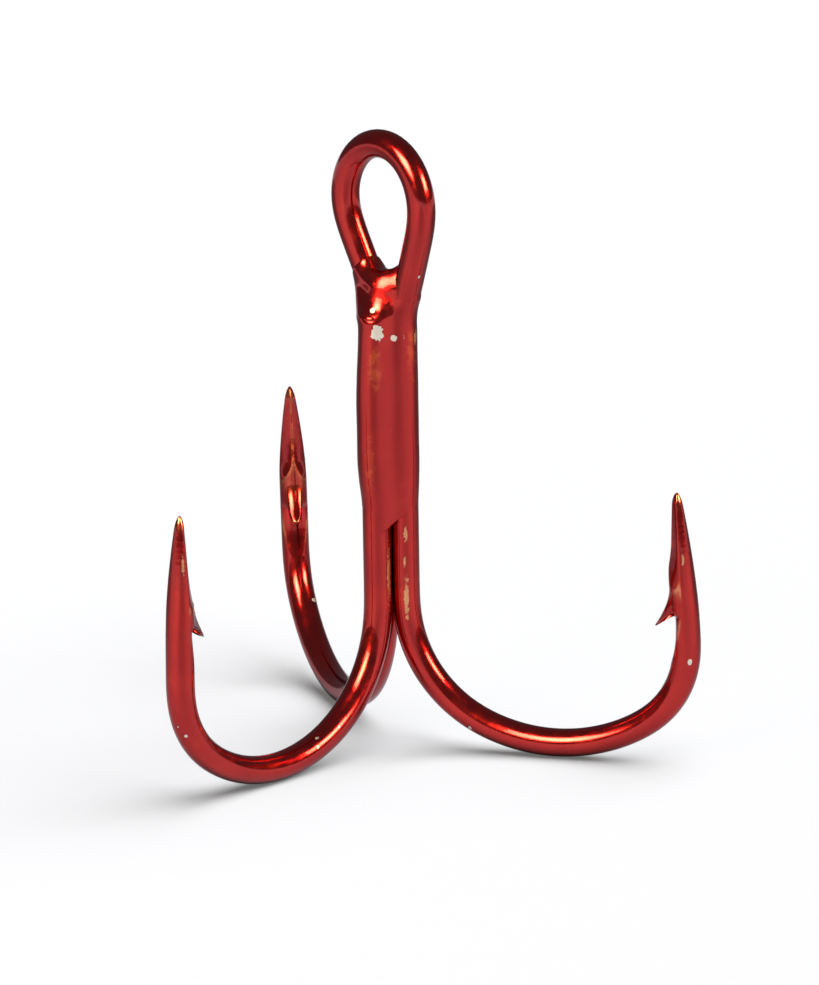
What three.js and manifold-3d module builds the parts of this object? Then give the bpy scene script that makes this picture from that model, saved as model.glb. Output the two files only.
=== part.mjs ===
// Treble hook: three barbed hooks on one shank, made from two steel wires brazed side by side.
//
// One wire is bent double. Its loop is the eye, its two legs run down the shank, and each leg
// ends in a hook. A second, single wire lies in the groove between the legs and ends in the
// third hook. Braze metal fills the three grooves and the core between the wires, and a cap of
// it covers the cut end of the single wire and rounds off the throat of the eye.
//
// Units are millimetres. The origin is the centre of the eye, on the axis of the shank. +Z runs
// up the shank, the eye lies in the XZ plane, and the single wire's hook points towards -Y.

import * as THREE from 'three';
import { mergeVertices } from 'three/addons/utils/BufferGeometryUtils.js';
import Module from 'manifold-3d';

const wasm = await Module();
wasm.setup();

// ---- Driving dimensions, mm and degrees ----

const WIRE = 2.0;
const JOINT_GAP = 0.05; // capillary gap between neighbouring wires in the shank
const SURFACE_GAP = 0.03; // gap between a wire's surface and the braze on it
const LEG_GAP = 0.01; // the same gap where a bead is cut back from the spreading legs

const EYE = {
  throatRadius: 5.3, // each leg leaves the shank on this radius
  legAngle: 21.5, // lean of the straight legs from the shank axis
  legLength: 5.6,
  sideRadius: 4.65, // round sides of the loop
  sideTurn: 70, // how far each side turns, from the leg to the crown
};

const STANCE = -38.6; // height of the wire's centre at the bottom of every bend
const FIRST_BEND = { radius: 9.65, heading: 65.5 };
const POINT_BEND_RADIUS = 6.55;

// A heading of 0 runs down the shank, 90 runs outwards and 180 runs back up.
// "barb" is the distance from the tip to the barb's apex, and "twist" turns the barb sideways.
const HOOKS = {
  single: {
    azimuth: -91.3, heelRadius: 10.8, heelHeading: 128, pointHeading: 181.5,
    spear: 12.4, barb: 9.0, twist: 0,
  },
  left: {
    azimuth: 152.5, heelRadius: 11.5, heelHeading: 140, pointHeading: 177,
    spear: 12.1, barb: 9.8, twist: 14,
  },
  right: {
    azimuth: 27.8, heelRadius: 12.4, heelHeading: 122.5, pointHeading: 183.5,
    spear: 11.0, barb: 9.6, twist: 0,
  },
};

// The point is a long cone with a blunt, rounded tip.
const POINT = { length: 6.8, tipRadius: 0.3, tipLength: 0.45 };

// The barb is a spur raised from the inner side of the spear, with a shallow cut below it.
// "along" is measured from the barb's apex, away from the tip, and "out" from the wire's centre.
const BARB = {
  start: { along: -2.1, out: 0.93 },
  apex: { along: 0, out: 2.2 },
  root: { along: -0.75, out: 0.72 },
  cutEnd: 2.8,
  width: 0.9,
  apexWidth: 0.25, // as a share of the width
};

const SINGLE_WIRE_TOP = -7.7; // cut end of the single wire
const END_CHAMFER = 0.3;

// The braze rounds off the bottom of the eye's opening and climbs the legs beside it.
const THROAT = { height: -4.95, middle: 0.4, thickness: 1.3, climb: 0.5 };
const BRAZE_BOTTOM = { front: -23.7, side: -22.2, rear: -22.0 };

const WIRE_SIDES = 16;
const BEND_STEP = 7.5;

const RADIUS = WIRE / 2;
const PITCH = WIRE + JOINT_GAP;
const WIRE_OFFSET = PITCH / Math.sqrt(3); // shank axis to each wire's centre
const CENTRES = {
  single: new THREE.Vector2(0, -WIRE_OFFSET),
  left: new THREE.Vector2(-PITCH / 2, WIRE_OFFSET / 2),
  right: new THREE.Vector2(PITCH / 2, WIRE_OFFSET / 2),
};

const radians = THREE.MathUtils.degToRad;
const { lerp, smoothstep } = THREE.MathUtils;

// ---- Centrelines ----

// A flat path of straights and arcs. x is the way out from the shank, and y is the height.
class FlatPath {
  constructor(out, height, heading) {
    this.heading = radians(heading);
    this.points = [new THREE.Vector2(out, height)];
  }

  get end() {
    return this.points.at(-1);
  }

  straight(length) {
    const step = new THREE.Vector2(Math.sin(this.heading), -Math.cos(this.heading));
    this.points.push(this.end.clone().addScaledVector(step, length));
    return this;
  }

  arc(radius, heading) {
    const start = this.end;
    const from = this.heading;
    const to = radians(heading);
    const side = Math.sign(to - from) * radius;
    const steps = Math.ceil(Math.abs(to - from) / radians(BEND_STEP));
    for (let step = 1; step <= steps; step += 1) {
      const angle = lerp(from, to, step / steps);
      const out = start.x + side * (Math.cos(from) - Math.cos(angle));
      const height = start.y - side * (Math.sin(angle) - Math.sin(from));
      this.points.push(new THREE.Vector2(out, height));
    }
    this.heading = to;
    return this;
  }
}

// Distances from the tip at which the point has a ring, and the wire's radius there.
function tipRings() {
  const rings = [0, 30, 60, 85].map((angle) => ({
    distance: POINT.tipLength * (1 - Math.cos(radians(angle))),
    radius: POINT.tipRadius * Math.sin(radians(angle)),
  }));
  rings.push({ distance: POINT.length / 2, radius: (POINT.tipRadius + RADIUS) / 2 });
  rings.push({ distance: POINT.length, radius: RADIUS });
  return rings;
}

// The hook's path in its own upright plane, from the shank's top to the end of the full wire.
function hookPath(hook, top) {
  const firstTurn = Math.sin(radians(FIRST_BEND.heading));
  const drop = FIRST_BEND.radius * firstTurn + hook.heelRadius * (1 - firstTurn);
  return new FlatPath(0, top, 0)
    .straight(top - (STANCE + drop))
    .arc(FIRST_BEND.radius, FIRST_BEND.heading)
    .arc(hook.heelRadius, hook.heelHeading)
    .arc(POINT_BEND_RADIUS, hook.pointHeading);
}

// Rings of a hook from the top of its shank to its tip: a centre and a radius each.
function hookRings(name, top) {
  const hook = HOOKS[name];
  const path = hookPath(hook, top);
  const rings = path.points.map((point) => ({ point, radius: RADIUS }));
  const bendEnd = path.end;
  for (const { distance, radius } of tipRings().reverse()) {
    const spear = new FlatPath(bendEnd.x, bendEnd.y, hook.pointHeading);
    rings.push({ point: spear.straight(hook.spear - distance).end, radius });
  }
  const start = CENTRES[name];
  const azimuth = radians(hook.azimuth);
  return rings.map(({ point, radius }) => {
    const x = start.x + point.x * Math.cos(azimuth);
    const y = start.y + point.x * Math.sin(azimuth);
    return { centre: new THREE.Vector3(x, y, point.y), radius };
  });
}

// One half of the eye, from the shank's top to the crown. Headings past 90 run upwards.
function halfEye() {
  const lean = radians(EYE.legAngle);
  const rise = (EYE.throatRadius + EYE.sideRadius) * Math.sin(lean) + EYE.legLength * Math.cos(lean);
  const path = new FlatPath(PITCH / 2, -rise, 180)
    .arc(EYE.throatRadius, 180 - EYE.legAngle)
    .straight(EYE.legLength)
    .arc(EYE.sideRadius, 180 - EYE.legAngle + EYE.sideTurn);
  const crownRadius = path.end.x / -Math.cos(path.heading);
  return path.arc(crownRadius, 270).points;
}

const SHANK_TOP = halfEye()[0].y;

// Rings of the eye from the left leg over the crown to the right leg. The legs stand beside the
// shank's axis, and lean forwards until the loop is centred over it.
function eyeRings() {
  const half = halfEye();
  const right = half.map((point) => point.clone()).reverse();
  const left = half.slice(0, -1).map((point) => new THREE.Vector2(-point.x, point.y));
  return [...left, ...right].map((point) => {
    const y = CENTRES.left.y * (1 - smoothstep(point.y, SINGLE_WIRE_TOP, 0));
    return { centre: new THREE.Vector3(point.x, y, point.y), radius: RADIUS };
  });
}

// ---- Solids ----

// Turns a straight lathed blank, then bends it so that each ring stands on its centre.
function bentWire(rings, extra = 0) {
  const centres = rings.map((ring) => ring.centre);
  const profile = rings.map(({ radius }, row) => new THREE.Vector2(radius > 0 ? radius + extra : 0, row));
  const blank = new THREE.LatheGeometry(profile, WIRE_SIDES);
  const frames = ringFrames(centres);
  const position = blank.getAttribute('position');
  const vertex = new THREE.Vector3();
  for (let index = 0; index < position.count; index += 1) {
    vertex.fromBufferAttribute(position, index);
    const row = Math.round(vertex.y);
    vertex.y = 0;
    vertex.applyQuaternion(frames[row]).add(centres[row]);
    position.setXYZ(index, vertex.x, vertex.y, vertex.z);
  }
  return toSolid(blank);
}

// Each ring's turn from the blank's frame, carried along the wire without any twist.
function ringFrames(centres) {
  const tangents = centres.map((centre, row) => {
    const before = centres[Math.max(row - 1, 0)];
    const after = centres[Math.min(row + 1, centres.length - 1)];
    return after.clone().sub(before).normalize();
  });
  const axis = new THREE.Vector3(0, 1, 0);
  const frame = new THREE.Quaternion();
  return tangents.map((tangent) => {
    const current = axis.clone().applyQuaternion(frame);
    frame.premultiply(new THREE.Quaternion().setFromUnitVectors(current, tangent));
    return frame.clone();
  });
}

function toSolid(geometry) {
  const bare = geometry.clone();
  bare.deleteAttribute('normal');
  bare.deleteAttribute('uv');
  const merged = mergeVertices(bare, 1e-5);
  const vertProperties = new Float32Array(merged.getAttribute('position').array);
  const corners = merged.index.array;
  const triVerts = [];
  for (let face = 0; face < corners.length; face += 3) {
    const [a, b, c] = corners.subarray(face, face + 3);
    if (a !== b && b !== c && c !== a) triVerts.push(a, b, c);
  }
  const mesh = new wasm.Mesh({ numProp: 3, vertProperties, triVerts: new Uint32Array(triVerts) });
  return new wasm.Manifold(mesh);
}

function toGeometry(solid) {
  const { numProp, vertProperties, triVerts } = solid.getMesh();
  const geometry = new THREE.BufferGeometry();
  const vertices = new THREE.InterleavedBuffer(vertProperties, numProp);
  geometry.setAttribute('position', new THREE.InterleavedBufferAttribute(vertices, 3, 0));
  geometry.setIndex(new THREE.BufferAttribute(triVerts, 1));
  return geometry;
}

// Places a shape drawn with "along" on x and "out" on y onto the inner side of a hook's spear,
// with x = 0 at the barb's apex.
function barbFrame(name) {
  const { azimuth, barb, twist } = HOOKS[name];
  const rings = hookRings(name, SHANK_TOP);
  const tip = rings.at(-1).centre;
  const along = rings.at(-2).centre.clone().sub(tip).normalize();
  const across = new THREE.Vector3(-Math.sin(radians(azimuth)), Math.cos(radians(azimuth)), 0);
  across.applyAxisAngle(along, radians(twist));
  const inward = new THREE.Vector3().crossVectors(across, along);
  const place = tip.clone().addScaledVector(along, barb);
  return new THREE.Matrix4().makeBasis(along, inward, across).setPosition(place);
}

function extrudedAcross(corners, width) {
  const outline = new THREE.Shape(corners.map(([along, out]) => new THREE.Vector2(along, out)));
  const geometry = new THREE.ExtrudeGeometry(outline, { depth: width, bevelEnabled: false });
  return geometry.translate(0, 0, -width / 2);
}

function barbSpur(frame) {
  const { start, apex, root, width, apexWidth } = BARB;
  const buried = RADIUS / 3;
  const corners = [
    [start.along, buried],
    [root.along, buried],
    [root.along, root.out],
    [apex.along, apex.out],
    [start.along, start.out],
  ];
  const geometry = extrudedAcross(corners, width);
  const position = geometry.getAttribute('position');
  for (let index = 0; index < position.count; index += 1) {
    const rise = THREE.MathUtils.inverseLerp(root.out, apex.out, position.getY(index));
    const share = lerp(1, apexWidth, THREE.MathUtils.clamp(rise, 0, 1));
    position.setZ(index, position.getZ(index) * share);
  }
  return toSolid(geometry.applyMatrix4(frame));
}

function barbCut(frame) {
  const { apex, root, cutEnd } = BARB;
  const clear = 1.3; // the cut runs this much past the barb's apex
  const corners = [
    [root.along, root.out],
    [cutEnd, RADIUS],
    [cutEnd, apex.out * clear],
    [lerp(root.along, apex.along, clear), lerp(root.out, apex.out, clear)],
  ];
  return toSolid(extrudedAcross(corners, WIRE).applyMatrix4(frame));
}

function cutBarb(wire, name) {
  const frame = barbFrame(name);
  return wire.add(barbSpur(frame)).subtract(barbCut(frame));
}

function doubleWire(extra = 0) {
  const left = hookRings('left', SHANK_TOP).reverse();
  const right = hookRings('right', SHANK_TOP);
  return bentWire([...left, ...eyeRings().slice(1, -1), ...right], extra);
}

function singleWire() {
  const rings = hookRings('single', SINGLE_WIRE_TOP);
  const [top] = rings;
  const shoulder = top.centre.clone().setZ(top.centre.z - END_CHAMFER);
  const end = [
    { centre: top.centre, radius: 0 },
    { centre: top.centre, radius: RADIUS - END_CHAMFER },
    { centre: shoulder, radius: RADIUS },
  ];
  return bentWire([...end, ...rings.slice(1)]);
}

// ---- Braze ----

// A bead that fills the groove between two wires of the shank. It starts as a box, of which x
// runs from wire to wire and y from the bottom of the groove to its open side. "wrap" is how far
// the bead climbs each wire, 90 being level with the wires' crests, and "crown" is how far its
// face stands out between them.
function grooveBead(nearName, farName, { bottom, top, runout, wrap, crown }) {
  const near = CENTRES[nearName];
  const far = CENTRES[farName];
  const between = far.clone().sub(near).normalize();
  const outward = near.clone().add(far).normalize();
  const reach = RADIUS + SURFACE_GAP;
  const narrowest = Math.acos((PITCH - SURFACE_GAP) / (2 * reach));
  const geometry = new THREE.BoxGeometry(2, 1, top - bottom, 4, 6, 12);
  geometry.translate(0, 0.5, (top + bottom) / 2);
  const position = geometry.getAttribute('position');
  for (let index = 0; index < position.count; index += 1) {
    const side = position.getX(index);
    const depth = position.getY(index);
    const height = position.getZ(index);
    const fade = lerp(0.3, 1, smoothstep(height, bottom, bottom + runout));
    const angle = lerp(narrowest, radians(wrap) * fade, depth);
    const across = side * (PITCH / 2 - reach * Math.cos(angle));
    const out = reach * Math.sin(angle) + crown * fade * depth * (1 - side * side);
    const place = near.clone().add(far).multiplyScalar(0.5);
    place.addScaledVector(between, across).addScaledVector(outward, out);
    position.setXYZ(index, place.x, place.y, height);
  }
  return toSolid(geometry).subtract(doubleWire(LEG_GAP));
}

// The sliver of braze between all three wires.
function brazeCore() {
  const reach = RADIUS + SURFACE_GAP;
  const narrowest = Math.acos((PITCH - SURFACE_GAP) / (2 * reach));
  const outline = new THREE.Shape();
  for (const [name, facing] of [['single', 90], ['right', 210], ['left', 330]]) {
    const { x, y } = CENTRES[name];
    const half = radians(30) - narrowest;
    outline.absarc(x, y, reach, radians(facing) + half, radians(facing) - half, true);
  }
  const depth = SINGLE_WIRE_TOP - BRAZE_BOTTOM.front;
  const geometry = new THREE.ExtrudeGeometry(outline, { depth, bevelEnabled: false, curveSegments: 4 });
  return toSolid(geometry.translate(0, 0, BRAZE_BOTTOM.front));
}

// The cap over the single wire's cut end. It starts as an upright column that spans the shank
// from front to back, and narrows as it climbs until it fills the throat between the eye's legs.
function brazeCap() {
  const base = SINGLE_WIRE_TOP + SURFACE_GAP;
  const front = CENTRES.single.y - RADIUS;
  const back = CENTRES.left.y + RADIUS / 2;
  const column = new THREE.CylinderGeometry(RADIUS, RADIUS, 1, 24, 8);
  column.rotateX(Math.PI / 2).translate(0, 0, 0.5);
  const position = column.getAttribute('position');
  for (let index = 0; index < position.count; index += 1) {
    const x = position.getX(index);
    const rise = position.getZ(index);
    const lean = Math.sin(rise * Math.PI / 2);
    const middle = lerp((front + back) / 2, THROAT.middle, lean);
    const y = middle + position.getY(index) / WIRE * lerp(back - front, THROAT.thickness, lean);
    const z = lerp(base, THROAT.height, rise) + rise * THROAT.climb * x * x;
    position.setXYZ(index, x, y, z);
  }
  return toSolid(column).subtract(doubleWire(SURFACE_GAP));
}

// ---- Assembly ----

const lacqueredSteel = { color: 0xb3241c, roughness: 0.22, metalness: 0.9 };
const lacqueredBraze = { color: 0xa82a20, roughness: 0.34, metalness: 0.8 };

const hook = new THREE.Group();

function addPiece(name, solid, finish) {
  const mesh = new THREE.Mesh(toGeometry(solid), new THREE.MeshStandardMaterial(finish));
  mesh.name = name;
  hook.add(mesh);
}

const beadTop = SINGLE_WIRE_TOP - SURFACE_GAP;
const frontBead = { bottom: BRAZE_BOTTOM.front, top: beadTop, runout: 1, wrap: 78, crown: 0 };
const sideBead = { bottom: BRAZE_BOTTOM.side, top: beadTop, runout: 5, wrap: 112, crown: 0.5 };
const rearBead = { bottom: BRAZE_BOTTOM.rear, top: beadTop, runout: 3, wrap: 80, crown: 0 };

addPiece('double_hook_wire', cutBarb(cutBarb(doubleWire(), 'left'), 'right'), lacqueredSteel);
addPiece('single_hook_wire', cutBarb(singleWire(), 'single'), lacqueredSteel);
addPiece('braze_core', brazeCore(), lacqueredBraze);
addPiece('braze_bead_front', grooveBead('right', 'single', frontBead), lacqueredBraze);
addPiece('braze_bead_side', grooveBead('single', 'left', sideBead), lacqueredBraze);
addPiece('braze_bead_rear', grooveBead('left', 'right', rearBead), lacqueredBraze);
addPiece('braze_cap', brazeCap(), lacqueredBraze);

export default hook;
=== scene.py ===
"""Looks of a lacquered treble hook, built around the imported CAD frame.

Two wires are swept along the CAD's own bends, with ground points, raised barbs and chisel cuts, and the
braze between them is one smooth body drawn from its distance field. Lengths are in millimetres until a
mesh is made, and Blender's metres after that.
"""

import math

import bpy
import numpy as np
from mathutils import Matrix, Vector


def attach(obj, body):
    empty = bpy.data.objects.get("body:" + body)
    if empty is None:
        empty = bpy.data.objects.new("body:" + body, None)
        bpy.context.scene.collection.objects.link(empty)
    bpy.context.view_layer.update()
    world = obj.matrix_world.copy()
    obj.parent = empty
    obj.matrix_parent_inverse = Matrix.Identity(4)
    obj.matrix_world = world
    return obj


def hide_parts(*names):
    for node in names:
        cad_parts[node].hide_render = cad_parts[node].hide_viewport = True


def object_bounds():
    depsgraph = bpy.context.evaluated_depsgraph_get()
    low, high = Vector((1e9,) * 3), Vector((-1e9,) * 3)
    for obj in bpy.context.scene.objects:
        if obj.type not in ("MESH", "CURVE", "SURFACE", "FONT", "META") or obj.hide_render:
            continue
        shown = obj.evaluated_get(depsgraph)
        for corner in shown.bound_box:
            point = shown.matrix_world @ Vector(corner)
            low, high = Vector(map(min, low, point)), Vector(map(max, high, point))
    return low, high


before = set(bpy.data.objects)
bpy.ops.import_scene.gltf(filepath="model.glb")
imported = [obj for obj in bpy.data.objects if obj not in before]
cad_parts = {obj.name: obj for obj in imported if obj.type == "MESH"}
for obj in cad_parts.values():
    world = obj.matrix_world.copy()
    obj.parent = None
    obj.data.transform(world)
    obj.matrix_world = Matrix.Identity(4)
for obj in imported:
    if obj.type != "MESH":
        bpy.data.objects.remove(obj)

CAD_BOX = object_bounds()
MM = 0.001

# ---- Driving dimensions, the same as the CAD's, mm and degrees ----

WIRE = 2.0
JOINT_GAP = 0.05
RADIUS = WIRE / 2
PITCH = WIRE + JOINT_GAP
WIRE_OFFSET = PITCH / math.sqrt(3)
CENTRES = {
    "single": (0.0, -WIRE_OFFSET),
    "left": (-PITCH / 2, WIRE_OFFSET / 2),
    "right": (PITCH / 2, WIRE_OFFSET / 2),
}

EYE = {"throat_radius": 5.3, "leg_angle": 21.5, "leg_length": 5.6, "side_radius": 4.65, "side_turn": 70}
STANCE = -38.6
FIRST_BEND = {"radius": 9.65, "heading": 65.5}
POINT_BEND_RADIUS = 6.55
SINGLE_WIRE_TOP = -7.7
END_CHAMFER = 0.3

HOOKS = {
    "single": {"azimuth": -91.3, "heel_radius": 10.8, "heel_heading": 128, "point_heading": 181.5,
               "spear": 12.4, "barb": 9.0, "twist": 0},
    "left": {"azimuth": 152.5, "heel_radius": 11.5, "heel_heading": 140, "point_heading": 177,
             "spear": 12.1, "barb": 9.8, "twist": 14},
    "right": {"azimuth": 27.8, "heel_radius": 12.4, "heel_heading": 122.5, "point_heading": 183.5,
              "spear": 11.0, "barb": 9.6, "twist": 0},
}

# ---- Fineness of the meshes ----

SIDES = 64
BEND_SAMPLE = 0.25
RING_STEP = 0.4
POINT_RING_STEP = 0.12
BEND_EASING = 30  # rounds of smoothing where a straight meets a bend


# ---- Centrelines ----

class FlatPath:
    """A flat path of straights and arcs. A heading of 0 runs down the shank, and 90 runs outwards."""

    def __init__(self, out, height, heading):
        self.heading = math.radians(heading)
        self.points = [(out, height)]

    def straight(self, length):
        steps = max(1, round(length / BEND_SAMPLE))
        out, height = self.points[-1]
        for step in range(1, steps + 1):
            far = length * step / steps
            self.points.append((out + far * math.sin(self.heading), height - far * math.cos(self.heading)))
        return self

    def arc(self, radius, heading):
        out, height = self.points[-1]
        start, end = self.heading, math.radians(heading)
        side = math.copysign(radius, end - start)
        steps = max(2, round(radius * abs(end - start) / BEND_SAMPLE))
        for step in range(1, steps + 1):
            angle = start + (end - start) * step / steps
            self.points.append((out + side * (math.cos(start) - math.cos(angle)),
                                height - side * (math.sin(angle) - math.sin(start))))
        self.heading = end
        return self


def hook_points(name, top):
    """A hook's centreline from the top of its shank to its tip."""
    hook = HOOKS[name]
    first_turn = math.sin(math.radians(FIRST_BEND["heading"]))
    drop = FIRST_BEND["radius"] * first_turn + hook["heel_radius"] * (1 - first_turn)
    path = FlatPath(0, top, 0).straight(top - STANCE - drop)
    path.arc(FIRST_BEND["radius"], FIRST_BEND["heading"]).arc(hook["heel_radius"], hook["heel_heading"])
    path.arc(POINT_BEND_RADIUS, hook["point_heading"]).straight(hook["spear"])
    x, y = CENTRES[name]
    azimuth = math.radians(hook["azimuth"])
    return np.array([(x + out * math.cos(azimuth), y + out * math.sin(azimuth), height)
                     for out, height in path.points])


def half_eye():
    """One side of the eye, from the top of the shank to the crown."""
    lean = math.radians(EYE["leg_angle"])
    rise = (EYE["throat_radius"] + EYE["side_radius"]) * math.sin(lean) + EYE["leg_length"] * math.cos(lean)
    path = FlatPath(PITCH / 2, -rise, 180)
    path.arc(EYE["throat_radius"], 180 - EYE["leg_angle"]).straight(EYE["leg_length"])
    path.arc(EYE["side_radius"], 180 - EYE["leg_angle"] + EYE["side_turn"])
    crown_radius = path.points[-1][0] / -math.cos(path.heading)
    return path.arc(crown_radius, 270).points


def smoothstep(value, low, high):
    share = np.clip((np.asarray(value, float) - low) / (high - low), 0, 1)
    return share * share * (3 - 2 * share)


def eye_points():
    """The eye from the left leg over the crown to the right leg, leaning until it is over the shank."""
    half = half_eye()
    left = [(-out, height) for out, height in half[:-1]]
    flat = np.array(left + half[::-1])
    lean = CENTRES["left"][1] * (1 - smoothstep(flat[:, 1], SINGLE_WIRE_TOP, 0))
    return np.column_stack([flat[:, 0], lean, flat[:, 1]])


SHANK_TOP = half_eye()[0][1]


def eased(points):
    """Rounds off the jumps in curvature between straights and arcs."""
    points = points.copy()
    for _ in range(BEND_EASING):
        points[1:-1] = (points[:-2] + 2 * points[1:-1] + points[2:]) / 4
    return points


def unit(vectors):
    return vectors / np.linalg.norm(vectors, axis=-1, keepdims=True)


# ---- Points and barbs ----

# Distances are along the wire from its tip, or from the barb's apex with the tip's side negative.
TIP_HALF_WIDTH = 0.25
TIP_ROUNDING = 0.9
GROUND_LENGTH = 6.8
RIDGE = (0.36, 0.087)  # distance of the ridge from the wire's centre: at the tip, and its growth
BACK = (0.24, 9.0)  # the back's height at the tip, and how far along it reaches the full radius
SIDE_CURVE = 1.5
BACK_CURVE = 1.6
FACET_BULGE = 1.15  # 1 is a flat facet, and 2 is round
RIDGE_OPENING = 0.37  # the ridge and the facets run out of the round wire by this much at their ends
RIDGE_END = (3.6, 7.6)
FACET_OPENING = 0.22
FACET_END = (5.4, 7.6)
FACET_EASE = 0.07  # width of the soft edge where a facet meets the round wire
TIP_RING_TURNS = (8, 16, 24, 34, 46, 60, 74)  # degrees around the tip's rounding

BARB_START = -2.7
BARB_OUT = 2.25
BARB_CURVE = 1.65
BARB_HALF_ANGLE = 34
BARB_TAPER = 0.3  # share of its width that the barb loses towards its end
BARB_END_ROUNDING = 0.35
BARB_EDGE = 0.06
BARB_RINGS = 20
BARB_SHARE = 0.9  # the barb's outer face stands over this share of the wire from its start to the cut
ROOT_REACH = 0.96
ROOT_TURN = 0.84
ROOT_CURVE = 1.4
CUT_DEPTH = 0.32
CUT_START = -1.15
CUT_DEEPEST = -0.7
CUT_END = 2.9
CUT_WIDEST = 80  # half angle of the chisel cut at its start, narrowing to its end
CUT_RINGS = 34

# Wear is the share of the lacquer's colour that has gone.
TIP_WEAR = 0.5
TIP_WEAR_END = (0.2, 1.4)
RIDGE_WEAR = 0.40
RIDGE_WEAR_ANGLE = 0.13
RIDGE_WEAR_END = (5.5, 7.0)
FACET_WEAR = 0.55
FACET_WEAR_RADIUS = (0.985, 0.012)  # the facets' lower edges: their radius, and the band's half width
FACET_WEAR_START = 5.5
FACET_WEAR_FADE = (0.1, 0.5)
BARB_WEAR = 0.6
BARB_WEAR_START = (0.85, 1.0)
CUT_EDGE_WEAR = 0.7
CUT_EDGE_ANGLE = 0.1
CUT_EDGE_FADE = (0.35, 0.8)


def point_radius(distance, angles):
    """Radius of a ground point. Two facets meet in a ridge on the barb's side, which is angle 0."""
    unground = max(1 - distance / GROUND_LENGTH, 0) ** SIDE_CURVE
    side = TIP_HALF_WIDTH + (RADIUS - TIP_HALF_WIDTH) * (1 - unground)
    ridge = RIDGE[0] + RIDGE[1] * distance + RIDGE_OPENING * float(smoothstep(distance, *RIDGE_END))
    back = BACK[0] + (RADIUS - BACK[0]) * (1 - max(1 - distance / BACK[1], 0) ** BACK_CURVE)
    across, facing = np.abs(np.sin(angles)), np.cos(angles)
    front = np.maximum(facing, 0)
    facets = ((across / side) ** FACET_BULGE + (front / ridge) ** FACET_BULGE) ** (-1 / FACET_BULGE)
    opening = FACET_OPENING * float(smoothstep(distance, *FACET_END))
    facets *= 1 + opening * np.sqrt(np.abs(np.sin(2 * angles)))
    rounded = ((across / side) ** 2 + (facing / back) ** 2) ** -0.5
    tip = math.sqrt(1 - (1 - min(distance / TIP_ROUNDING, 1)) ** 2)
    radius = tip * np.where(facing > 0, facets, rounded)
    closeness = np.maximum(FACET_EASE - np.abs(radius - RADIUS), 0) / FACET_EASE
    return np.minimum(radius, RADIUS) - closeness ** 2 * FACET_EASE / 4 * (facing > 0)


def cut_radius(place, angles):
    """Radius of the wire with the chisel's hollow below the barb."""
    share = np.clip((place - CUT_DEEPEST) / (CUT_END - CUT_DEEPEST), 0, 1)
    depth = CUT_DEPTH * (1 - share ** 2) * smoothstep(place, CUT_START, CUT_DEEPEST)
    half_angle = math.radians(CUT_WIDEST) * np.sqrt(1.0001 - share)
    return RADIUS - depth * np.maximum(1 - (angles / half_angle) ** 2, 0)


def barb_ring(lift, along, out, narrowing, place, barb, angles):
    """A ring through the barb. Its own part stands at "along" and "out", and the rest is the wire at
    "place"."""
    own = np.abs(angles) < math.radians(BARB_HALF_ANGLE)
    wire = np.minimum(point_radius(barb + place, angles), cut_radius(place, angles))
    face = point_radius(barb + along, angles) if lift else RADIUS
    outs = out - face * (1 - np.cos(angles)) * narrowing
    return (np.where(own, along, place) + barb, np.where(own, outs, wire * np.cos(angles)),
            np.where(own, face * np.sin(angles) * narrowing, wire * np.sin(angles)))


def barb_width(rise):
    """Share of its full width that the barb keeps, with a round end like a tongue."""
    rounding = max(rise - (1 - BARB_END_ROUNDING), 0) / BARB_END_ROUNDING
    return max((1 - BARB_TAPER * rise) * math.sqrt(1 - rounding ** 2), BARB_EDGE)


def ground_wear(distance, angles):
    """How worn a ground point is: most at its tip, and along the ridge and the lower ends of its facets."""
    radius = point_radius(distance, angles)
    tip = TIP_WEAR * (1 - smoothstep(distance, *TIP_WEAR_END))
    ridge = RIDGE_WEAR * np.exp(-((angles / RIDGE_WEAR_ANGLE) ** 2))
    ridge = ridge * (1 - smoothstep(distance, *RIDGE_WEAR_END))
    edge_radius, edge_width = FACET_WEAR_RADIUS
    ends = FACET_WEAR * np.exp(-(((radius - edge_radius) / edge_width) ** 2))
    ends = ends * (np.cos(angles) > 0) * (distance > FACET_WEAR_START)
    return np.maximum(np.maximum(tip, ridge), ends)


def cut_wear(place, angles):
    """Wear along the two edges of the chisel cut, which come together below the barb."""
    share = np.clip((place - CUT_DEEPEST) / (CUT_END - CUT_DEEPEST), 0, 1)
    half_angle = math.radians(CUT_WIDEST) * np.sqrt(1.0001 - share)
    edge = CUT_EDGE_WEAR * np.exp(-(((np.abs(angles) - half_angle) / CUT_EDGE_ANGLE) ** 2))
    return edge * smoothstep(place, CUT_START, CUT_DEEPEST) * (1 - smoothstep(share, *CUT_EDGE_FADE))


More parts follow.
